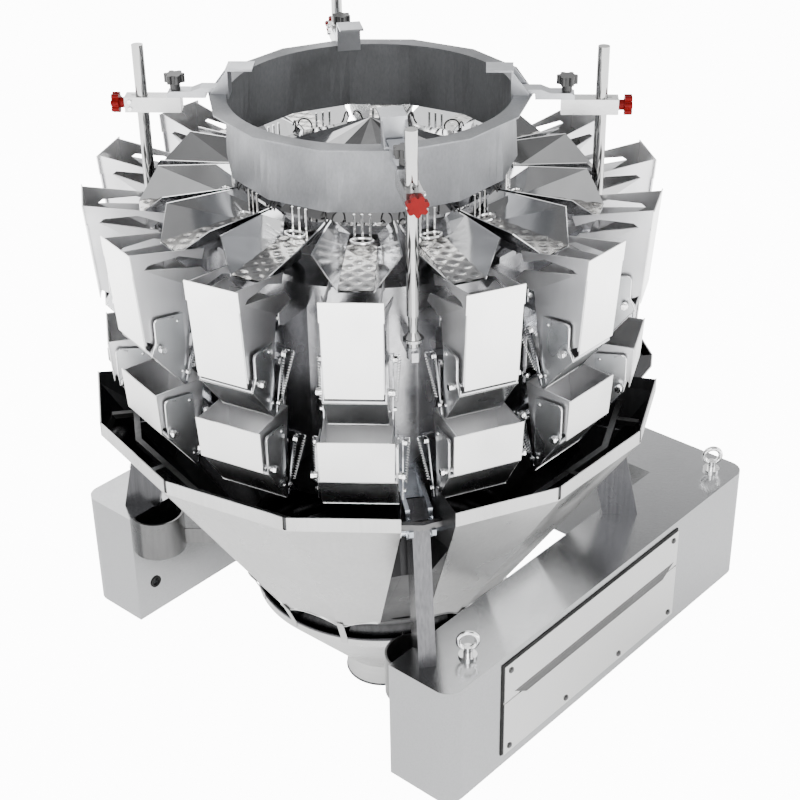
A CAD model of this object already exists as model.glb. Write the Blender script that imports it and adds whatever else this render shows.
"""Multihead combination weigher in stainless steel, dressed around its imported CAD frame."""

import math

import bpy
import numpy as np
from mathutils import Matrix, Vector


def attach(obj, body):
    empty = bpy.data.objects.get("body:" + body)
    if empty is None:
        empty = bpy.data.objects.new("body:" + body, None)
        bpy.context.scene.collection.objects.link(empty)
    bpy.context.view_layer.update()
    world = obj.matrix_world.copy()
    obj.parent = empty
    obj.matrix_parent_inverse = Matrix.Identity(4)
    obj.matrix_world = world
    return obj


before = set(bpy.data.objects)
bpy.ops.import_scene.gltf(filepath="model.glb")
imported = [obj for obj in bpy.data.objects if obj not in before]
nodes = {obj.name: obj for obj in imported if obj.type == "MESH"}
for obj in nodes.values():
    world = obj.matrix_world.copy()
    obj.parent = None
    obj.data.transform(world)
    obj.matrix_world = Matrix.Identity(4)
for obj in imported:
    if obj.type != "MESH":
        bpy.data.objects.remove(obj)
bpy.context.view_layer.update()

# The studio: a white floor just under the outlet, a room that is white low down
# and grey overhead for the steel to mirror, and three soft lamps. The camera
# stands up and in front of the near left corner, as the photographer did.

FLOOR_Z = -0.166
FLOOR_HALF = 16.0
FLOOR_WHITE = (0.9, 0.9, 0.9, 1)
SEEN_WHITE = 12.0
CAMERA_AT = (-2.7148, -1.9976, 2.2562)
CAMERA_LOOKS = (0.64216, 0.57476, -0.50724)
CAMERA_ROLL = math.radians(-0.87)
LENS_MM = 75.07
MACHINE_MIDDLE = Vector((-0.5, 0, 0.6))

camera = bpy.data.objects.new("camera", bpy.data.cameras.new("camera"))
bpy.context.scene.collection.objects.link(camera)
camera.data.lens = LENS_MM
camera.data.sensor_width = 36.0
camera.location = CAMERA_AT
looks_along = Vector(CAMERA_LOOKS).to_track_quat("-Z", "Y").to_matrix()
camera.rotation_euler = (looks_along @ Matrix.Rotation(CAMERA_ROLL, 3, "Z")).to_euler()
bpy.context.scene.camera = camera


def linked(tree, source, target):
    """Joins an output of one shader node to an input of another."""
    tree.links.new(source, target)


def studio_room(name, low, high, overhead):
    """The room's light by the sine of the angle above the horizon: low up to a
    half, high from 0.6 to 0.8, overhead from 0.95, each as a grey level. Looked
    at directly it is white, as the floor is."""
    room = bpy.data.worlds.new(name)
    room.use_nodes = True
    tree = room.node_tree
    where = tree.nodes.new("ShaderNodeTexCoord")
    split = tree.nodes.new("ShaderNodeSeparateXYZ")
    levels = tree.nodes.new("ShaderNodeValToRGB")
    linked(tree, where.outputs["Generated"], split.inputs["Vector"])
    linked(tree, split.outputs["Z"], levels.inputs["Fac"])
    linked(tree, levels.outputs["Color"], tree.nodes["Background"].inputs["Color"])
    stops = levels.color_ramp.elements
    stops[0].position = 0.0
    stops[0].color = (low, low, low, 1)
    stops[1].position = 0.95
    stops[1].color = (overhead, overhead, overhead, 1)
    for at, grey in ((0.5, low), (0.6, high), (0.8, high)):
        stops.new(at).color = (grey, grey, grey, 1)
    path = tree.nodes.new("ShaderNodeLightPath")
    strength = tree.nodes.new("ShaderNodeMath")
    strength.operation = "MULTIPLY_ADD"
    strength.inputs[1].default_value = SEEN_WHITE
    strength.inputs[2].default_value = 1.0
    linked(tree, path.outputs["Is Camera Ray"], strength.inputs[0])
    linked(tree, strength.outputs["Value"], tree.nodes["Background"].inputs["Strength"])
    return room


bpy.context.scene.world = studio_room("studio", 1.5, 0.2, 1.0)


def soft_lamp(name, at, side, power):
    """A square soft lamp with its middle at a point, turned to the machine's middle."""
    lamp = bpy.data.objects.new(name, bpy.data.lights.new(name, "AREA"))
    lamp.data.size = side
    lamp.data.energy = power
    lamp.location = at
    lamp.rotation_euler = (MACHINE_MIDDLE - Vector(at)).to_track_quat("-Z", "Y").to_euler()
    bpy.context.scene.collection.objects.link(lamp)
    return lamp


soft_lamp("key_lamp", (-3.4, -2.4, 3.4), 2.0, 90)
soft_lamp("side_lamp", (1.8, -3.2, 2.4), 2.0, 40)
soft_lamp("back_lamp", (1.2, 3.0, 3.4), 2.4, 45)


def sheet_of_floor(half, height):
    """A flat square: corners half a side out each way, all on one height."""
    mesh = bpy.data.meshes.new("floor")
    corners = np.array([[-1, -1], [1, -1], [1, 1], [-1, 1]]) * half
    mesh.from_pydata([(x, y, height) for x, y in corners], [], [(0, 1, 2, 3)])
    floor = bpy.data.objects.new("floor", mesh)
    bpy.context.scene.collection.objects.link(floor)
    return floor


GLOW_MIDDLE = (-0.5, 0, FLOOR_Z)
GLOW_EDGE = (1.7, 2.15)
SHADE_MIDDLE = (-0.08, -0.12, FLOOR_Z)
SHADE_EDGE = (0.3, 0.75)
IN_SHADE = 0.1


def eased_by_distance(tree, where, middle, edge, inside, outside):
    """A value that eases from inside to outside while the distance from a point
    goes through the two edge distances."""
    away = tree.nodes.new("ShaderNodeVectorMath")
    away.operation = "DISTANCE"
    away.inputs[1].default_value = middle
    eased = tree.nodes.new("ShaderNodeMapRange")
    eased.interpolation_type = "SMOOTHSTEP"
    eased.inputs["From Min"].default_value = edge[0]
    eased.inputs["From Max"].default_value = edge[1]
    eased.inputs["To Min"].default_value = inside
    eased.inputs["To Max"].default_value = outside
    linked(tree, where.outputs["Object"], away.inputs[0])
    linked(tree, away.outputs["Value"], eased.inputs["Value"])
    return eased.outputs["Result"]


def lit_floor(name, near, far, seen):
    """A white floor that glows: near round the machine, far beyond the glow's
    edge, a tenth of that in the shade between the boxes, and seen where it is
    looked at directly."""
    paint = bpy.data.materials.new(name)
    paint.use_nodes = True
    tree = paint.node_tree
    shader = tree.nodes["Principled BSDF"]
    shader.inputs["Base Color"].default_value = FLOOR_WHITE
    shader.inputs["Roughness"].default_value = 0.7
    shader.inputs["Emission Color"].default_value = (1, 1, 1, 1)
    where = tree.nodes.new("ShaderNodeTexCoord")
    glow = eased_by_distance(tree, where, GLOW_MIDDLE, GLOW_EDGE, near, far)
    shade = eased_by_distance(tree, where, SHADE_MIDDLE, SHADE_EDGE, IN_SHADE, 1.0)
    shaded = tree.nodes.new("ShaderNodeMath")
    shaded.operation = "MULTIPLY"
    path = tree.nodes.new("ShaderNodeLightPath")
    straight = tree.nodes.new("ShaderNodeMath")
    straight.operation = "MULTIPLY"
    straight.inputs[1].default_value = seen
    level = tree.nodes.new("ShaderNodeMath")
    level.operation = "MAXIMUM"
    linked(tree, path.outputs["Is Camera Ray"], straight.inputs[0])
    linked(tree, glow, shaded.inputs[0])
    linked(tree, shade, shaded.inputs[1])
    linked(tree, shaded.outputs["Value"], level.inputs[0])
    linked(tree, straight.outputs["Value"], level.inputs[1])
    linked(tree, level.outputs["Value"], shader.inputs["Emission Strength"])
    return paint


white_floor = sheet_of_floor(FLOOR_HALF, FLOOR_Z)
white_floor.data.materials.append(lit_floor("white_floor_paint", 1.0, 4.2, SEEN_WHITE))

# The base: two long boxes and a cross box of stainless sheet, folded, welded
# into a U and blasted to a fine satin. A rubber ring lines the round cable port
# in each long box's inner face.

BOX_Y = 0.515
BOX_W = 0.150
PORT_X = -0.883
PORT_Z = 0.076
PORT_RING = [(0.0085, 0), (0.013, 0), (0.0138, 0.0018), (0.012, 0.0034), (0.0095, 0.0034)]
CREASE = math.radians(40)
LEANING = (0.283, 0.117, 0.952)
LEVEL = (1.0, 0.2, 0.0)


def stainless(name, dark, light, rough, grain=(3, 3, 120), relief=0.0002, smudge=0.25,
              metal=1.0):
    """Stainless sheet. A noise drawn out along the grain runs the tone from dark
    to light and stands out of the surface by relief metres; a broad noise, like
    wiped-off hand marks, swings the roughness by the smudge share."""
    made = bpy.data.materials.new(name)
    made.use_nodes = True
    tree = made.node_tree
    shader = tree.nodes["Principled BSDF"]
    shader.inputs["Metallic"].default_value = metal
    where = tree.nodes.new("ShaderNodeTexCoord")
    drawn = tree.nodes.new("ShaderNodeMapping")
    drawn.inputs["Scale"].default_value = grain
    lines = tree.nodes.new("ShaderNodeTexNoise")
    lines.inputs["Scale"].default_value = 4.0
    lines.inputs["Detail"].default_value = 3.0
    marks = tree.nodes.new("ShaderNodeTexNoise")
    marks.inputs["Scale"].default_value = 9.0
    marks.inputs["Detail"].default_value = 2.0
    tone = tree.nodes.new("ShaderNodeMix")
    tone.data_type = "RGBA"
    tone.inputs[6].default_value = (*dark, 1)
    tone.inputs[7].default_value = (*light, 1)
    gloss = tree.nodes.new("ShaderNodeMapRange")
    gloss.inputs["From Min"].default_value = 0.3
    gloss.inputs["From Max"].default_value = 0.7
    gloss.inputs["To Min"].default_value = rough * (1 - smudge)
    gloss.inputs["To Max"].default_value = rough * (1 + smudge)
    bump = tree.nodes.new("ShaderNodeBump")
    bump.inputs["Strength"].default_value = 0.6
    bump.inputs["Distance"].default_value = relief
    linked(tree, where.outputs["Object"], drawn.inputs["Vector"])
    linked(tree, drawn.outputs["Vector"], lines.inputs["Vector"])
    linked(tree, where.outputs["Object"], marks.inputs["Vector"])
    linked(tree, lines.outputs["Fac"], tone.inputs[0])
    linked(tree, tone.outputs[2], shader.inputs["Base Color"])
    linked(tree, marks.outputs["Fac"], gloss.inputs["Value"])
    linked(tree, gloss.outputs["Result"], shader.inputs["Roughness"])
    linked(tree, lines.outputs["Fac"], bump.inputs["Height"])
    linked(tree, bump.outputs["Normal"], shader.inputs["Normal"])
    return made


def dress(finish, *names):
    """Gives CAD nodes a finish."""
    for name in names:
        nodes[name].data.materials.clear()
        nodes[name].data.materials.append(finish)


def turned(profile, sides=24, ring=False):
    """A turned piece: each (radius, height) of the profile goes round the upright
    axis in equal steps. The ends get flat caps, or a ring's profile closes on itself."""
    radius, height = np.array(profile, float).T
    turn = np.arange(sides) * 2 * np.pi / sides
    points = np.stack([np.outer(radius, np.cos(turn)), np.outer(radius, np.sin(turn)),
                       np.repeat(height[:, None], sides, 1)], -1).reshape(-1, 3)
    rows = len(radius)
    row, step = np.divmod(np.arange((rows if ring else rows - 1) * sides), sides)
    above = (row + 1) % rows * sides
    after = (step + 1) % sides
    quads = np.stack([row * sides + step, row * sides + after, above + after, above + step], 1)
    ends = np.arange(sides)
    caps = np.stack([ends[::-1], ends + (rows - 1) * sides])
    return points, [quads] if ring else [quads, caps]


def repeated(shape, turns, places):
    """Copies of a shape: its points times each turn's three axes, plus each place."""
    points, faces = shape
    moved = np.einsum("pi,mij->mpj", points, turns) + np.asarray(places)[:, None]
    first = np.arange(len(moved))[:, None, None] * len(points)
    return moved.reshape(-1, 3), [(first + kind).reshape(-1, kind.shape[1]) for kind in faces]


def stood_along(directions):
    """The axes of a frame whose third axis runs along each direction. The first is
    square to it and to a leaning line, or to a level one where these nearly match."""
    up = np.atleast_2d(np.asarray(directions, float))
    up = up / np.linalg.norm(up, axis=1)[:, None]
    side = np.cross(up, LEANING)
    flat = np.linalg.norm(side, axis=1) < 0.05
    side[flat] = np.cross(up[flat], LEVEL)
    side = side / np.linalg.norm(side, axis=1)[:, None]
    return np.stack([side, np.cross(up, side), up], 1)


def set_along(shape, directions, places):
    """A turned piece set on each place, with its axis along each direction."""
    return repeated(shape, stood_along(directions), np.atleast_2d(places))


def joined(*shapes):
    """Several shapes as one: the points follow on, and the faces count on."""
    first = np.cumsum([0] + [len(points) for points, _ in shapes])
    return (np.concatenate([points for points, _ in shapes]),
            [kind + start for start, (_, faces) in zip(first, shapes) for kind in faces])


def piece(name, shape, finish, body="frame", smooth=False):
    """Makes a shape a piece of the machine that rides on a body. A smooth one
    keeps its edges sharper than the crease angle."""
    points, faces = shape
    mesh = bpy.data.meshes.new(name)
    mesh.from_pydata(points.tolist(), [], [face for kind in faces for face in kind.tolist()])
    mesh.polygons.foreach_set("use_smooth", np.full(len(mesh.polygons), smooth))
    mesh.materials.append(finish)
    made = bpy.data.objects.new(name, mesh)
    bpy.context.scene.collection.objects.link(made)
    if smooth:
        crease = made.modifiers.new("crease", "EDGE_SPLIT")
        crease.split_angle = CREASE
    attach(made, body)
    return made


satin = stainless("satin_blasted_sheet", (0.38, 0.384, 0.392), (0.50, 0.504, 0.512), 0.18,
                  grain=(90, 90, 90), relief=0.00012)
dress(satin, "control_box", "support_box", "cross_box")

rubber = stainless("black_rubber", (0.005, 0.005, 0.005), (0.012, 0.012, 0.012), 0.8,
                   grain=(60, 60, 60), metal=0.0)
port_rings = set_along(turned(PORT_RING, ring=True), [(0, 1, 0), (0, -1, 0)],
                       [(PORT_X, BOX_W - BOX_Y, PORT_Z), (PORT_X, BOX_Y - BOX_W, PORT_Z)])
piece("port_rings", port_rings, rubber, smooth=True)

# The cover on the near box: one brushed sheet with a groove, on a black rubber
# gasket, held by six dark dome screws on washers along its edges.

COVER_X = (-0.781, -0.197)
COVER_Z = (0.029, 0.245)
COVER_FACE = -0.521
GASKET_OUT = 0.0035
GASKET_W = 0.006
GASKET_T = 0.0022
FLUTE_TOP = (-0.748, -0.212, 0.1695)
FLUTE_FOOT = (-0.713, -0.247, 0.1475)
FLUTE_PROUD = 0.0008
FLUTE_SUNK = 0.00066
SCREW_ROWS = {0.043: np.linspace(-0.763, -0.215, 4), 0.229: (-0.763, -0.215)}
SCREWS_AT = [(x, COVER_FACE, z) for z, row in SCREW_ROWS.items() for x in row]
DOME_SCREW = [(0.0062, 0), (0.0066, 0.0004), (0.0066, 0.0012), (0.0046, 0.0012),
              (0.0046, 0.002), (0.0038, 0.0034), (0.0022, 0.0042), (0.0008, 0.0045)]


def frame_of_strip(low, high, wide, y, thick):
    """A flat frame in an upright plane: outer and inner corners, near and far,
    joined into four mitred bars of the given width and thickness."""
    outer = np.array([(low[0], low[1]), (high[0], low[1]), (high[0], high[1]), (low[0], high[1])])
    inner = outer + np.array([(1, 1), (-1, 1), (-1, -1), (1, -1)]) * wide
    flat = np.stack([outer, inner, inner, outer]).reshape(-1, 2)
    depth = np.repeat([y - thick, y - thick, y, y], 4)
    points = np.stack([flat[:, 0], depth, flat[:, 1]], 1)
    row, step = np.divmod(np.arange(16), 4)
    above, after = (row + 1) % 4 * 4, (step + 1) % 4
    return points, [np.stack([row * 4 + step, row * 4 + after, above + after, above + step], 1)]


def pressed_flute(top, foot, y, sunk):
    """A shallow trough with slanting ends: its rim runs through the upper and the
    lower edge, each (x from, x to, z). Its bed is the rim drawn in by 0.45 of the
    way to the middle line, its border the rim let out by 0.12 of it, and both lie
    sunk behind the rim."""
    rim = np.array([(top[0], top[2]), (top[1], top[2]), (foot[1], foot[2]), (foot[0], foot[2])])
    middle = np.array([np.clip(rim[:, 0], foot[0], foot[1]), np.full(4, rim[:, 1].mean())]).T
    bed = 0.55 * rim + 0.45 * middle
    edge = rim + (rim - middle) * 0.12
    flat = np.concatenate([edge, rim, bed])
    depth = np.repeat([y + sunk, y, y + sunk], 4)
    row, step = np.divmod(np.arange(8), 4)
    after = (step + 1) % 4
    sides = np.stack([row * 4 + step, row * 4 + 4 + step, row * 4 + 4 + after, row * 4 + after], 1)
    return np.stack([flat[:, 0], depth, flat[:, 1]], 1), [sides, np.array([[8, 11, 10, 9]])]


brushed_cover = stainless("brushed_cover", (0.66, 0.66, 0.655), (0.76, 0.76, 0.75), 0.2,
                          grain=(3, 120, 120), relief=0.0001)
dress(brushed_cover, "control_box_door")
piece("cover_gasket",
      frame_of_strip((COVER_X[0] - GASKET_OUT, COVER_Z[0] - GASKET_OUT / 2),
                     (COVER_X[1] + GASKET_OUT, COVER_Z[1] + GASKET_OUT),
                     GASKET_W, -BOX_Y, GASKET_T),
      rubber)
flute_steel = stainless("shaded_flute", (0.09, 0.09, 0.09), (0.13, 0.13, 0.13), 0.35,
                        grain=(3, 120, 120))
piece("cover_flute", pressed_flute(FLUTE_TOP, FLUTE_FOOT, COVER_FACE - FLUTE_PROUD, FLUTE_SUNK),
      flute_steel)
oiled_screw = stainless("oiled_screw", (0.07, 0.07, 0.07), (0.16, 0.16, 0.16), 0.3)
piece("cover_screws", set_along(turned(DOME_SCREW, 20), [(0, -1, 0)] * len(SCREWS_AT), SCREWS_AT),
      oiled_screw, smooth=True)

# The four eye bolts that the machine is lifted by: cast and polished rings on
# washers, screwed down into the long boxes.

bright_bolt = stainless("bright_bolt_steel", (0.80, 0.80, 0.80), (0.95, 0.95, 0.95), 0.14,
                        grain=(80, 80, 80))
dress(bright_bolt, "lifting_eyes")

# The four legs: flat stainless tubes welded to the boxes, leaning in to the
# drive housing. Each top is held between two bright cheeks by one heavy bolt
# with a hexagon head and a washer.

AXIS_X = -0.553
HEADS = 14
HEAD_TURNS = np.radians(-90 + np.arange(HEADS) * 360 / HEADS)
LEG_TURNS = np.radians([90 * s + 1.5 * c * 360 / HEADS for s in (-1, 1) for c in (-1, 1)])
CHEEK_BOLT = (0.0105, 0.009)
CHEEK_BOLT_R = 0.4577
CHEEK_BOLT_Z = 0.516
CHEEK_OUT = 0.0338


def about_the_axis(shape, turns):
    """Repeats a shape round the machine. Its own axes are: out from the machine's
    upright axis, along the circle, and up; each turn swings them by its angle."""
    out = np.stack([np.cos(turns), np.sin(turns), np.zeros_like(turns)], 1)
    along = np.stack([-np.sin(turns), np.cos(turns), np.zeros_like(turns)], 1)
    up = np.tile((0.0, 0.0, 1.0), (len(turns), 1))
    middle = np.tile((AXIS_X, 0.0, 0.0), (len(turns), 1))
    return repeated(shape, np.stack([out, along, up], 1), middle)


def hexagon_bolt(across, head, washer=1.35):
    """A washer and a hexagon head with a chamfered top, by the head's half width
    across the corners, its height over the seat, and the washer's share of the
    half width. The washer is a fifth of the half width thick."""
    disc = turned([(across * washer, 0), (across * washer, across * 0.2)], 20)
    nut = turned([(across, across * 0.2), (across, head * 0.85), (across * 0.86, head)], 6)
    return joined(disc, nut)


leg_steel = stainless("leg_steel", (0.06, 0.06, 0.064), (0.13, 0.13, 0.135), 0.24,
                      grain=(60, 60, 2))
dress(leg_steel, "legs")
cheek_steel = stainless("cheek_steel", (0.40, 0.43, 0.47), (0.62, 0.65, 0.70), 0.2,
                        grain=(60, 60, 4))
dress(cheek_steel, "leg_brackets")
cheek_bolts = set_along(hexagon_bolt(*CHEEK_BOLT), [(0, 1, 0), (0, -1, 0)],
                        [(CHEEK_BOLT_R, side * CHEEK_OUT, CHEEK_BOLT_Z) for side in (1, -1)])
piece("leg_bolts", about_the_axis(cheek_bolts, LEG_TURNS), bright_bolt)

# The chute: fourteen brushed panels folded at the creases under an upright lip,
# with a bar ring inside on short bars, welded, and straps down to the funnel.
# Inside, each panel is faced with a thin dark liner for the product to slide on,
# and a dark sleeve leads down from the liner into the funnel.

CHUTE_TOP = (0.5685, 0.611)
CHUTE_FOLD = (0.5685, 0.584)
CHUTE_FOOT = (0.2965, 0.178)
NEAR_A_LEG = 0.1
LEG_CUT = 0.0505
LINER_T = 0.0008
LINER_GAP = 0.0008
SLEEVE = [(0.2595, 0.104), (0.262, 0.150), (0.2938, 0.190),
          (0.2930, 0.190), (0.2612, 0.150), (0.2587, 0.104)]
SLEEVE_SIDES = 84

chute_sheet = stainless("chute_sheet", (0.54, 0.54, 0.535), (0.66, 0.66, 0.655), 0.3,
                        grain=(30, 30, 3), relief=0.0001)
dress(chute_sheet, "chute_panels", "funnel_straps")
ring_steel = stainless("grey_bar_steel", (0.12, 0.12, 0.12), (0.2, 0.2, 0.2), 0.35,
                       grain=(20, 20, 20))
dress(ring_steel, "chute_inner_ring")


def liner_panel(turn, cut_before, cut_after):
    """A thin panel inside the chute at one head: on each of three heights, from
    the foot to the lip's top, a chord between the two creases, a gap inside the
    panel and cut back at a leg, and the same again further in by the liner's
    thickness."""
    half = np.pi / HEADS
    rows = np.array([CHUTE_FOOT, CHUTE_FOLD, CHUTE_TOP])
    reach = (rows[:, 0] - LINER_GAP)[None, :] - np.array([0, LINER_T])[:, None]
    out = reach * np.cos(half)
    wide = reach * np.sin(half)
    sides = np.stack([-wide + cut_before, wide - cut_after], -1)
    out = np.repeat(out[..., None], 2, -1)
    up = np.repeat(np.repeat(rows[None, :, 1], 2, 0)[..., None], 2, -1)
    points = np.stack([out, sides, up], -1).reshape(-1, 3)
    outer = [[0, 1, 3, 2], [2, 3, 5, 4]]
    inner = [[6, 8, 9, 7], [8, 10, 11, 9]]
    rims = [[0, 6, 7, 1], [4, 5, 11, 10], [0, 2, 8, 6], [2, 4, 10, 8], [1, 7, 9, 3], [3, 9, 11, 5]]
    return about_the_axis((points, [np.array(outer + inner + rims)]), np.array([turn]))


def by_a_leg(turn):
    """How far a panel is cut back at a crease: only where a leg passes."""
    away = np.abs((LEG_TURNS - turn + np.pi) % (2 * np.pi) - np.pi)
    return LEG_CUT if away.min() < NEAR_A_LEG else 0.0


liner = joined(*[liner_panel(turn, by_a_leg(turn - np.pi / HEADS), by_a_leg(turn + np.pi / HEADS))
                 for turn in HEAD_TURNS])
dark_liner = stainless("dark_chute_liner", (0.05, 0.05, 0.052), (0.12, 0.12, 0.123), 0.14,
                       grain=(30, 30, 6))
piece("chute_liner", liner, dark_liner)
sleeve = turned(SLEEVE, SLEEVE_SIDES, ring=True)
piece("chute_sleeve", about_the_axis(sleeve, np.zeros(1)), dark_liner,
      smooth=True)

# The bright rolled edge along the foot of each panel and round its arch, a thin
# bar welded under the sheet, and cut away where a leg passes.

FOOT_R = 0.285
FOOT_Z = 0.158
PANEL_SLOPE = 0.669
PANEL_HALF = 0.0634
ARCH_R = 0.0856
ARCH_MIDDLE = 0.0924
RIM_OUT = 0.0005
RIM_T = 0.0028
RIM_STEPS = 25


def wire(path, thick, sides=6, beside=(0.0, 1.0, 0.0)):
    """A round bar along a path: at each point a circle of half the thickness,
    square to the path. The path never runs along the direction beside."""
    path = np.asarray(path, float)
    run = np.gradient(path, axis=0)
    run /= np.linalg.norm(run, axis=1)[:, None]
    first = np.cross(run, beside)
    first /= np.linalg.norm(first, axis=1)[:, None]
    second = np.cross(run, first)
    turn = np.arange(sides) * 2 * np.pi / sides
    points = path[:, None] + thick / 2 * (np.cos(turn)[None, :, None] * first[:, None]
                                          + np.sin(turn)[None, :, None] * second[:, None])
    row, step = np.divmod(np.arange((len(path) - 1) * sides), sides)
    above, after = (row + 1) * sides, (step + 1) % sides
    quads = np.stack([row * sides + step, row * sides + after, above + after, above + step], 1)
    ends = np.arange(sides)
    return points.reshape(-1, 3), [quads, np.stack([ends[::-1], ends + (len(path) - 1) * sides])]


def arch_rim(turn, cut_before, cut_after):
    """The rim under a panel: along the chord the height is the foot's, or that of
    the arch, a circle about its middle, where this is higher. The distance out
    grows from the foot's by the panel's slope times the rise."""
    along = np.linspace(-PANEL_HALF + cut_before, PANEL_HALF - cut_after, RIM_STEPS)
    up = np.maximum(FOOT_Z, ARCH_MIDDLE + np.sqrt(ARCH_R ** 2 - along ** 2))
    out = (FOOT_R + (up - FOOT_Z) * PANEL_SLOPE) * np.cos(np.pi / HEADS) + RIM_OUT
    bar = wire(np.stack([out, along, up], 1), RIM_T, beside=(1.0, 0.0, 0.0))
    return about_the_axis(bar, np.array([turn]))


rims = joined(*[arch_rim(turn, by_a_leg(turn - np.pi / HEADS), by_a_leg(turn + np.pi / HEADS))
                for turn in HEAD_TURNS])
bright_rim = stainless("bright_rolled_rim", (0.80, 0.80, 0.80), (0.92, 0.92, 0.92), 0.25,
                       grain=(20, 20, 20))
piece("arch_rims", rims, bright_rim, smooth=True)

# A folded guard closes the chute round each leg: across the gap up to where the
# leg passes, then as a trough behind the leg, and two wings beside its top.

GUARD_ROWS = [(0.2845, 0.2845, 0.178), (0.4275, 0.4245, 0.392), (0.4945, 0.403, 0.492)]
WING_ROWS = [(0.4945, 0.445, 0.492), (0.556, 0.445, 0.584), (0.556, 0.445, 0.611)]
GUARD_HALF = 0.0495
BACK_HALF = 0.0275


def folded_guard(rows, across):
    """A folded sheet: for each row (edge radius, back radius, height) a point at
    each of the across places, on the edge radius at the outermost ones and on the
    back radius between them, and all again further in by the liner's thickness."""
    rows = np.array(rows, float)
    across = np.array(across, float)
    at_edge = np.isclose(np.abs(across), GUARD_HALF)
    radius = np.where(at_edge[None, :], rows[:, :1], rows[:, 1:2])
    sheet = np.stack([radius, np.tile(across, (len(rows), 1)),
                      np.repeat(rows[:, 2:], len(across), 1)], -1)
    count = sheet.shape[0] * sheet.shape[1]
    points = np.concatenate([sheet.reshape(-1, 3), sheet.reshape(-1, 3) - (LINER_T, 0, 0)])
    wide = len(across)
    row, step = np.divmod(np.arange((len(rows) - 1) * (wide - 1)), wide - 1)
    low = row * wide + step
    outer = np.concatenate([np.stack([low, low + 1, low + wide + 1], 1),
                            np.stack([low, low + wide + 1, low + wide], 1)])
    ring = np.concatenate([np.arange(wide), np.arange(1, len(rows)) * wide + wide - 1,
                           np.arange(wide - 2, -1, -1) + (len(rows) - 1) * wide,
                           np.arange(len(rows) - 2, 0, -1) * wide])
    after = np.roll(ring, -1)
    rims = np.stack([after, ring, ring + count, after + count], 1)
    return points, [np.concatenate([outer, outer[:, ::-1] + count]), rims]


guard = joined(folded_guard(GUARD_ROWS, (-GUARD_HALF, -BACK_HALF, BACK_HALF, GUARD_HALF)),
               folded_guard(WING_ROWS, (-GUARD_HALF, -BACK_HALF)),
               folded_guard(WING_ROWS, (BACK_HALF, GUARD_HALF)))
black_guard = stainless("black_guard_sheet", (0.012, 0.012, 0.013), (0.035, 0.035, 0.037), 0.35,
                        grain=(30, 30, 6), metal=0.5)
piece("leg_guards", about_the_axis(guard, LEG_TURNS), black_guard)

# The round funnel under the chute, spun from one sheet with an upright rim, a
# rolled bead on the rim and a bead round the outlet, and lined as the chute is.

FUNNEL_SIDES = 64
RIM_BEAD = (0.2655, 0.115, 0.006)
OUTLET_BEAD = (0.0795, -0.159, 0.005)
FUNNEL_LINING = [(0.2624, 0.1145), (0.2624, 0.0990), (0.0755, -0.1080), (0.0755, -0.1595),
                 (0.0765, -0.1595), (0.0765, -0.1085), (0.2634, 0.0985), (0.2634, 0.1145)]


def rolled_bead(radius, height, thick, around=96, across=8):
    """A round bead: a small circle of half the thickness carried round a big one."""
    turn = np.arange(across) * 2 * np.pi / across
    profile = np.stack([radius + thick / 2 * np.cos(turn), height + thick / 2 * np.sin(turn)], 1)
    return turned(profile, around, ring=True)


spun_sheet = stainless("spun_funnel_sheet", (0.60, 0.60, 0.595), (0.72, 0.72, 0.715), 0.28,
                       grain=(4, 4, 60), relief=0.0001)
dress(spun_sheet, "lower_funnel")
lining = turned(FUNNEL_LINING, FUNNEL_SIDES, ring=True)
piece("funnel_liner", about_the_axis(lining, np.zeros(1)), dark_liner,
      smooth=True)
beads = joined(rolled_bead(*RIM_BEAD), rolled_bead(*OUTLET_BEAD))
piece("funnel_beads", about_the_axis(beads, np.zeros(1)), leg_steel,
      smooth=True)

# The half-round shells on the long boxes' inner faces and their arms, rolled
# and welded from thin bright sheet.

rolled_sheet = stainless("rolled_shell_sheet", (0.13, 0.13, 0.13), (0.21, 0.21, 0.21), 0.3,
                         grain=(20, 20, 4))
dress(rolled_sheet, "funnel_brackets")

# The drive housing and the drive units behind the heads: dark polished boxes.
# Behind each hopper a lid is held by four bolts, and a low lid above it by two.

PIN_Z = {"weigh": 0.667, "feed": 0.835}
LID_FRONT = 0.405
LID_T = 0.0035
LID_HALF = 0.042
LID_HALF_Z = 0.046
LOW_LID_HALF_Z = 0.018
LID_UNDER_PIN = 0.048
LOW_LID_OVER_PIN = 0.078
LID_BOLT = (0.0046, 0.0045)
LID_BOLT_Y = 0.036
LID_BOLT_Z = 0.039


def rounded_plate(half_y, half_z, thick, corner=0.008, steps=4):
    """A plate with round corners, standing across the out axis: its rim runs
    through quarter circles at the four corners, and its front edge is chamfered."""
    quarter = np.linspace(0, np.pi / 2, steps + 1)
    turn = np.concatenate([quarter + k * np.pi / 2 for k in range(4)])
    corners = np.repeat([(1, 1), (-1, 1), (-1, -1), (1, -1)], steps + 1, 0)
    middle = corners * (half_y - corner, half_z - corner)
    rim = np.stack([np.cos(turn), np.sin(turn)], 1)
    layers = [(0, corner), (thick - 0.001, corner), (thick, corner - 0.001)]
    points = np.concatenate([np.column_stack([np.full(len(rim), depth), middle + reach * rim])
                             for depth, reach in layers])
    sides = len(rim)
    row, step = np.divmod(np.arange(2 * sides), sides)
    above, after = (row + 1) * sides, (step + 1) % sides
    quads = np.stack([row * sides + step, row * sides + after, above + after, above + step], 1)
    ends = np.arange(sides)
    return points, [quads, np.stack([ends[::-1], ends + 2 * sides])]


def shifted(shape, by):
    """A shape moved by a step."""
    return shape[0] + np.asarray(by), shape[1]


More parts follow.
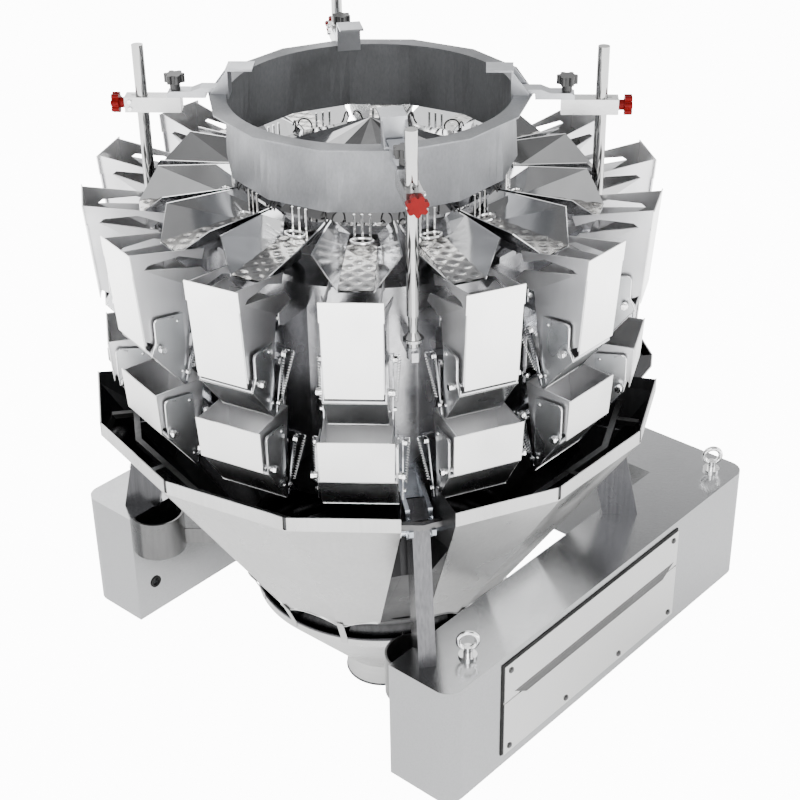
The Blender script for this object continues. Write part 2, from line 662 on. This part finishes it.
dark_steel = stainless("dark_drive_steel", (0.30, 0.30, 0.31), (0.45, 0.45, 0.46), 0.24,
                       grain=(25, 25, 25), smudge=0.4)
dress(dark_steel, "drive_housing", "drive_units", "post_brackets")
lids, bolts_at = [], []
for pin_z in PIN_Z.values():
    middle, low_middle = pin_z - LID_UNDER_PIN, pin_z + LOW_LID_OVER_PIN
    lids.append(shifted(rounded_plate(LID_HALF, LID_HALF_Z, LID_T), (LID_FRONT, 0, middle)))
    lids.append(shifted(rounded_plate(LID_HALF, LOW_LID_HALF_Z, LID_T), (LID_FRONT, 0, low_middle)))
    bolts_at += [(LID_FRONT + LID_T, side * LID_BOLT_Y, z) for side in (-1, 1)
                 for z in (middle - LID_BOLT_Z, middle + LID_BOLT_Z, low_middle)]
piece("drive_lids", about_the_axis(joined(*lids), HEAD_TURNS), dark_steel)
lid_bolts = set_along(hexagon_bolt(*LID_BOLT), [(1, 0, 0)] * len(bolts_at), bolts_at)
piece("lid_bolts", about_the_axis(lid_bolts, HEAD_TURNS), bright_bolt)

# The vibrators under the pans and the post under the cone: dark castings and
# leaf springs.

dress(dark_steel, "vibrators", "cone_support")

# The spreading cone: fourteen flat facets of mirror-polished sheet, folded up
# to one point.

mirror = stainless("mirror_polish", (0.26, 0.26, 0.265), (0.38, 0.38, 0.385), 0.07,
                   grain=(8, 8, 8), smudge=0.5)
dress(mirror, "dispersion_cone")

# The feeder pans: thin bright sheet, folded up into two flared walls. The floor
# is pressed all over with round dimples, so that wet product doesn't stick.

PAN_IN = (0.234, 0.0255, 1.0043)
PAN_OUT = (0.4385, 0.0312, 0.9943)
DIMPLE_PITCH = 0.024
DIMPLE_DEPTH = 0.0017
DIAGONAL = 1.414
FLOOR_PROUD = 0.0012


def dimpled_floor(inner, outer, along=72, across=20):
    """A pan's floor between its inner and outer end, each (radius, half width,
    height), lying proud of the sheet. Over the grid the height falls evenly, less
    the dimples: the depth times the squared product of two cosines of the pitch,
    one along each diagonal, so that the dimples stand in a checkered pattern."""
    u, v = np.meshgrid(np.linspace(0, 1, along), np.linspace(-1, 1, across), indexing="ij")
    radius = inner[0] + u * (outer[0] - inner[0])
    side = v * (inner[1] + u * (outer[1] - inner[1]))
    turn = np.pi / DIMPLE_PITCH
    wave = np.cos(turn * (radius + side) / DIAGONAL) * np.cos(turn * (radius - side) / DIAGONAL)
    height = inner[2] + u * (outer[2] - inner[2]) - DIMPLE_DEPTH * wave ** 2 + FLOOR_PROUD
    points = np.stack([radius, side, height], -1).reshape(-1, 3)
    row, step = np.divmod(np.arange((along - 1) * (across - 1)), across - 1)
    low = row * across + step
    return points, [np.stack([low, low + across, low + across + 1, low + 1], 1)]


pan_sheet = stainless("pan_sheet", (0.64, 0.645, 0.655), (0.76, 0.765, 0.775), 0.13,
                      grain=(6, 6, 6), relief=0.00004)
dress(pan_sheet, "feeder_pans")
pan_floor_steel = stainless("dimpled_pan_sheet", (0.60, 0.59, 0.57), (0.78, 0.77, 0.75), 0.22,
                            grain=(10, 10, 10), relief=0.00005)
piece("pan_floors", about_the_axis(dimpled_floor(PAN_IN, PAN_OUT), HEAD_TURNS), pan_floor_steel,
      smooth=True)

# Each pan hangs by two bent black hooks at its inner end, and three round bars
# behind an oval ring hold it down: thin bright wire, welded to the pan.

HOOK_CORNERS = np.array([(0.262, 0.054, 1.036), (0.256, 0.052, 1.052), (0.240, 0.040, 1.056),
                         (0.233, 0.034, 1.046), (0.240, 0.032, 1.036)])
HOOK_T = 0.0034
BAR_R = 0.262
BAR_Z = (1.001, 1.030, 1.056)
BARS_AT = (-0.014, 0.0, 0.014)
BAR_T = 0.005
OVAL_AT = (0.278, 1.012)
OVAL_HALF = (0.012, 0.020)
OVAL_STEPS = 25


def bent(corners, rounds=3):
    """A path with its corners eased: each side keeps its middle half, again and again."""
    path = np.array(corners, float)
    for _ in range(rounds):
        start, end = path[:-1], path[1:]
        cut = np.stack([0.75 * start + 0.25 * end, 0.25 * start + 0.75 * end], 1).reshape(-1, 3)
        path = np.concatenate([path[:1], cut[1:-1], path[-1:]])
    return path


def oval_ring(at, half, thick):
    """A bar bent to a level oval: its middle line runs through the cosine times
    the half width out and the sine times the half width along, about (radius,
    height)."""
    turn = np.linspace(0, 2 * np.pi, OVAL_STEPS)
    path = np.column_stack([at[0] + half[0] * np.cos(turn), half[1] * np.sin(turn),
                            np.full(OVAL_STEPS, at[1])])
    return wire(path, thick, beside=(0.0, 0.0, 1.0))


hooks = [wire(bent(HOOK_CORNERS * (1, side, 1)), HOOK_T) for side in (-1, 1)]
bars = [wire([(BAR_R, along, z) for z in BAR_Z], BAR_T) for along in BARS_AT]
black_wire = stainless("blackened_wire", (0.02, 0.02, 0.02), (0.05, 0.05, 0.05), 0.4,
                       grain=(40, 40, 40), metal=0.5)
piece("pan_hooks", about_the_axis(joined(*hooks), HEAD_TURNS), black_wire,
      smooth=True)
piece("pan_bars", about_the_axis(joined(*bars, oval_ring(OVAL_AT, OVAL_HALF, BAR_T)), HEAD_TURNS),
      bright_bolt, smooth=True)

# The hoppers: folded bright sheet. The front plates are polished nearly white,
# the side walls and back plates keep the mill's grey.

front_sheet = stainless("front_plate_sheet", (0.95, 0.95, 0.94), (0.98, 0.98, 0.97), 0.3,
                        grain=(14, 14, 2), relief=0.00004)
dress(front_sheet, "hopper_fronts")
wall_sheet = stainless("hopper_wall_sheet", (0.60, 0.60, 0.61), (0.68, 0.68, 0.69), 0.38,
                       grain=(14, 14, 2), relief=0.00005)
dress(wall_sheet, "hopper_sides", "hopper_backs")

# The hangers behind the hoppers: a bright block and two long levers beside the
# ears. Each lever has a bolt at its top end and a smaller one at its foot, and a
# coil spring with a hooked end pulls it back to the drive unit.

LEVER_OUT = {"feed": 0.0615, "weigh": 0.0765}
LEVER_TOP = (0.430, 0.025)
LEVER_FOOT = (0.4545, -0.060)
TOP_BOLT = (0.0062, 0.007)
FOOT_BOLT = (0.0042, 0.005)
SPRING_TOP = np.array((0.412, 0.009, 0.018))
SPRING_FOOT = np.array((0.446, 0.004, -0.050))
SPRING_HOOK = np.array([(0.407, 0.002, 0.020), (0.410, 0.010, 0.024), (0.412, 0.009, 0.016)])
SPRING_R = 0.0032
SPRING_WIRE = 0.0014
SPRING_TURNS = 16
HOOKED_WIRE = 0.0022


def coil_spring(start, end, radius, thick, turns, beside=(0.0, 1.0, 0.0), points_a_turn=7):
    """A wire wound round the line from start to end, at a radius: the angle runs
    evenly through the turns while the middle runs evenly along the line."""
    share = np.linspace(0, 1, turns * points_a_turn + 1)[:, None]
    run = (end - start) / np.linalg.norm(end - start)
    first = np.cross(run, beside)
    first /= np.linalg.norm(first)
    turn = 2 * np.pi * turns * share
    round_line = np.cos(turn) * first + np.sin(turn) * np.cross(run, first)
    path = start + share * (end - start) + radius * round_line
    return wire(path, thick, 5, beside=run)


hanger_steel = stainless("hanger_steel", (0.62, 0.63, 0.65), (0.82, 0.83, 0.85), 0.18,
                         grain=(20, 20, 4))
dress(hanger_steel, "hopper_hangers")
lever_bolts, springs = [], []
for kind, pin_z in PIN_Z.items():
    for side in (-1, 1):
        lever = (0, LEVER_OUT[kind], pin_z)
        way = (1, side, 1)
        for size, (radius, up) in ((TOP_BOLT, LEVER_TOP), (FOOT_BOLT, LEVER_FOOT)):
            lever_bolts.append(set_along(hexagon_bolt(*size), [(0, side, 0)],
                                         [(radius, side * LEVER_OUT[kind], pin_z + up)]))
        springs.append(coil_spring((SPRING_TOP + lever) * way, (SPRING_FOOT + lever) * way,
                                   SPRING_R, SPRING_WIRE, SPRING_TURNS))
        springs.append(wire(bent((SPRING_HOOK + lever) * way), HOOKED_WIRE, beside=(1.0, 0.2, 0.3)))
piece("lever_bolts", about_the_axis(joined(*lever_bolts), HEAD_TURNS), bright_bolt)
piece("lever_springs", about_the_axis(joined(*springs), HEAD_TURNS), bright_bolt,
      smooth=True)

# The stub pins that the gates turn on, each with a nut on its outer end.

PIN_R = 0.501
PIN_OUT = {"feed": 0.061, "weigh": 0.076}
PIN_NUT = (0.0072, 0.0065)

dress(bright_bolt, "hinge_pins")
pin_nuts = joined(*[set_along(hexagon_bolt(*PIN_NUT, washer=1.0), [(0, side, 0)],
                              [(PIN_R, side * PIN_OUT[kind], pin_z)])
                    for kind, pin_z in PIN_Z.items() for side in (-1, 1)])
piece("pin_nuts", about_the_axis(pin_nuts, HEAD_TURNS), bright_bolt)

# The gates: a sloping flap folded up into two ears with bright rims. Each ear
# has two rivets, and each gate swings on its own body. Points of a gate's side
# view are (out, up) from its pin.

EAR_OUT = {"feed": 0.054, "weigh": 0.069}
RIVETS = {"feed": [(-0.038, 0.043), (-0.040, -0.060)], "weigh": [(-0.040, 0.054), (-0.040, -0.060)]}
EAR_CORNER = {"feed": (0.001, 0.050), "weigh": (0.003, 0.060)}
EAR_BACK = {"feed": (-0.030, 0.0525), "weigh": (-0.012, 0.0625)}
FLAP_FRONT = {"feed": (0.0195, -0.011), "weigh": (0.0085, -0.010)}
FLAP_LIP = {"feed": (-0.043, -0.090), "weigh": (-0.046, -0.090)}
EAR_FRONT_FOOT = 0.014
EAR_ROUND = 0.008
EDGE_T = 0.0022
EDGE_OFF = 0.0012
FOOT_OVER = 0.002
EDGE_TURN = np.radians(np.linspace(95, 0, 6))
ASKEW = (0.35, 0.45, 0.82)
OTHER_SIDE = (1, -1, 1)
RIVET = [(0.0032, 0), (0.0031, 0.0008), (0.0022, 0.0018), (0.0008, 0.0022)]


def gate_edges(kind, pin_z):
    """The bright bent edges of a gate: over one ear from its back, round its top
    corner and down its front, across the flange, and up the other ear; and a
    second run down one side of the flap, along its lip and up the other side."""
    front, top = EAR_CORNER[kind]
    corner = (front, top) + EAR_ROUND * np.stack([np.cos(EDGE_TURN), np.sin(EDGE_TURN)], 1)
    over_ear = np.array([EAR_BACK[kind], *corner, (front + EAR_ROUND, EAR_FRONT_FOOT),
                         FLAP_FRONT[kind]])
    down_flap = np.array([FLAP_FRONT[kind], FLAP_LIP[kind]]) + [(0, FOOT_OVER), (0, 0)]
    edges = []
    for view, along in ((over_ear, EAR_OUT[kind] + EDGE_OFF), (down_flap, EAR_OUT[kind])):
        near = np.insert(view, 1, 0.0, axis=1) + (PIN_R, along, pin_z)
        edges.append(wire(np.concatenate([near, near[::-1] * OTHER_SIDE]), EDGE_T, 5, beside=ASKEW))
    return joined(*edges)


gate_sheet = stainless("gate_sheet", (0.50, 0.51, 0.52), (0.60, 0.61, 0.62), 0.3,
                       grain=(14, 14, 3), relief=0.00005)
edge_steel = stainless("bright_bent_edge", (0.86, 0.86, 0.86), (0.96, 0.96, 0.96), 0.25,
                       grain=(20, 20, 20))
for kind, pin_z in PIN_Z.items():
    ear_rivets = joined(*[set_along(turned(RIVET, 12), [(0, side, 0)],
                                    [(PIN_R + out, side * EAR_OUT[kind], pin_z + up)])
                          for side in (-1, 1) for out, up in RIVETS[kind]])
    for head, turn in enumerate(HEAD_TURNS):
        gate = f"{kind}_gate_{head + 1:02d}"
        dress(gate_sheet, gate)
        piece(f"{gate}_edges", about_the_axis(gate_edges(kind, pin_z), np.array([turn])),
              edge_steel, body=f"{gate}_body")
        piece(f"{gate}_rivets", about_the_axis(ear_rivets, np.array([turn])),
              bright_bolt, body=f"{gate}_body", smooth=True)

# The four chromed posts on their bracket arms, ground smooth.

chrome = stainless("hard_chrome", (0.30, 0.30, 0.297), (0.42, 0.42, 0.416), 0.06,
                   grain=(6, 6, 2), relief=0.00002)
dress(chrome, "posts")

# The infeed collar: a rolled sheet with a flat rim, brushed up and down, and
# the arms and hooks that carry it, on the body that slides on the posts.

collar_sheet = stainless("collar_sheet", (0.20, 0.205, 0.215), (0.28, 0.285, 0.295), 0.5,
                         grain=(60, 60, 30), relief=0.00004)
dress(collar_sheet, "infeed_collar")
arm_steel = stainless("arm_steel", (0.42, 0.43, 0.45), (0.54, 0.55, 0.57), 0.4,
                      grain=(20, 20, 20))
dress(arm_steel, "collar_arms")

# The clamp bars on the posts, milled from flat bar, with two screws across the
# split, and the star knobs: red ones that tighten the clamps, black ones that
# hold the arms.

CLAMP_Z = 1.1625
CLAMP_HALF = 0.015
SCREW_R = 0.447
SCREW_UP = 0.007
CAP_SCREW = [(0.0042, 0), (0.0042, 0.0036), (0.0038, 0.004), (0.0022, 0.004), (0.0022, 0.002)]

machined = stainless("machined_bar", (0.46, 0.46, 0.46), (0.60, 0.60, 0.60), 0.25,
                     grain=(40, 40, 40))
dress(machined, "clamp_blocks")
clamp_screws = set_along(turned(CAP_SCREW, 16), [(0, 1, 0), (0, 1, 0)],
                         [(SCREW_R, CLAMP_HALF, CLAMP_Z + way * SCREW_UP) for way in (1, -1)])
piece("clamp_screws", about_the_axis(clamp_screws, LEG_TURNS), bright_bolt,
      body="infeed")


def moulded(name, colour, deep, rough, shine=0.5):
    """Moulded plastic: a broad noise runs the colour into a deeper one, a fine
    noise gives the skin its faint orange peel, and shine is its mirror share."""
    made = bpy.data.materials.new(name)
    made.use_nodes = True
    tree = made.node_tree
    shader = tree.nodes["Principled BSDF"]
    shader.inputs["Roughness"].default_value = rough
    shader.inputs["Specular IOR Level"].default_value = shine
    where = tree.nodes.new("ShaderNodeTexCoord")
    cloud = tree.nodes.new("ShaderNodeTexNoise")
    cloud.inputs["Scale"].default_value = 60.0
    peel = tree.nodes.new("ShaderNodeTexNoise")
    peel.inputs["Scale"].default_value = 900.0
    tone = tree.nodes.new("ShaderNodeMix")
    tone.data_type = "RGBA"
    tone.inputs[6].default_value = (*deep, 1)
    tone.inputs[7].default_value = (*colour, 1)
    bump = tree.nodes.new("ShaderNodeBump")
    bump.inputs["Strength"].default_value = 0.3
    bump.inputs["Distance"].default_value = 0.0002
    linked(tree, where.outputs["Object"], cloud.inputs["Vector"])
    linked(tree, where.outputs["Object"], peel.inputs["Vector"])
    linked(tree, cloud.outputs["Fac"], tone.inputs[0])
    linked(tree, tone.outputs[2], shader.inputs["Base Color"])
    linked(tree, peel.outputs["Fac"], bump.inputs["Height"])
    linked(tree, bump.outputs["Normal"], shader.inputs["Normal"])
    return made


red_knob = moulded("red_knob", (0.22, 0.003, 0.004), (0.13, 0.002, 0.002), 0.45, shine=0.12)
dress(red_knob, "clamp_knobs")
black_knob = moulded("black_knob", (0.03, 0.03, 0.03), (0.012, 0.012, 0.012), 0.35)
dress(black_knob, "arm_knobs")
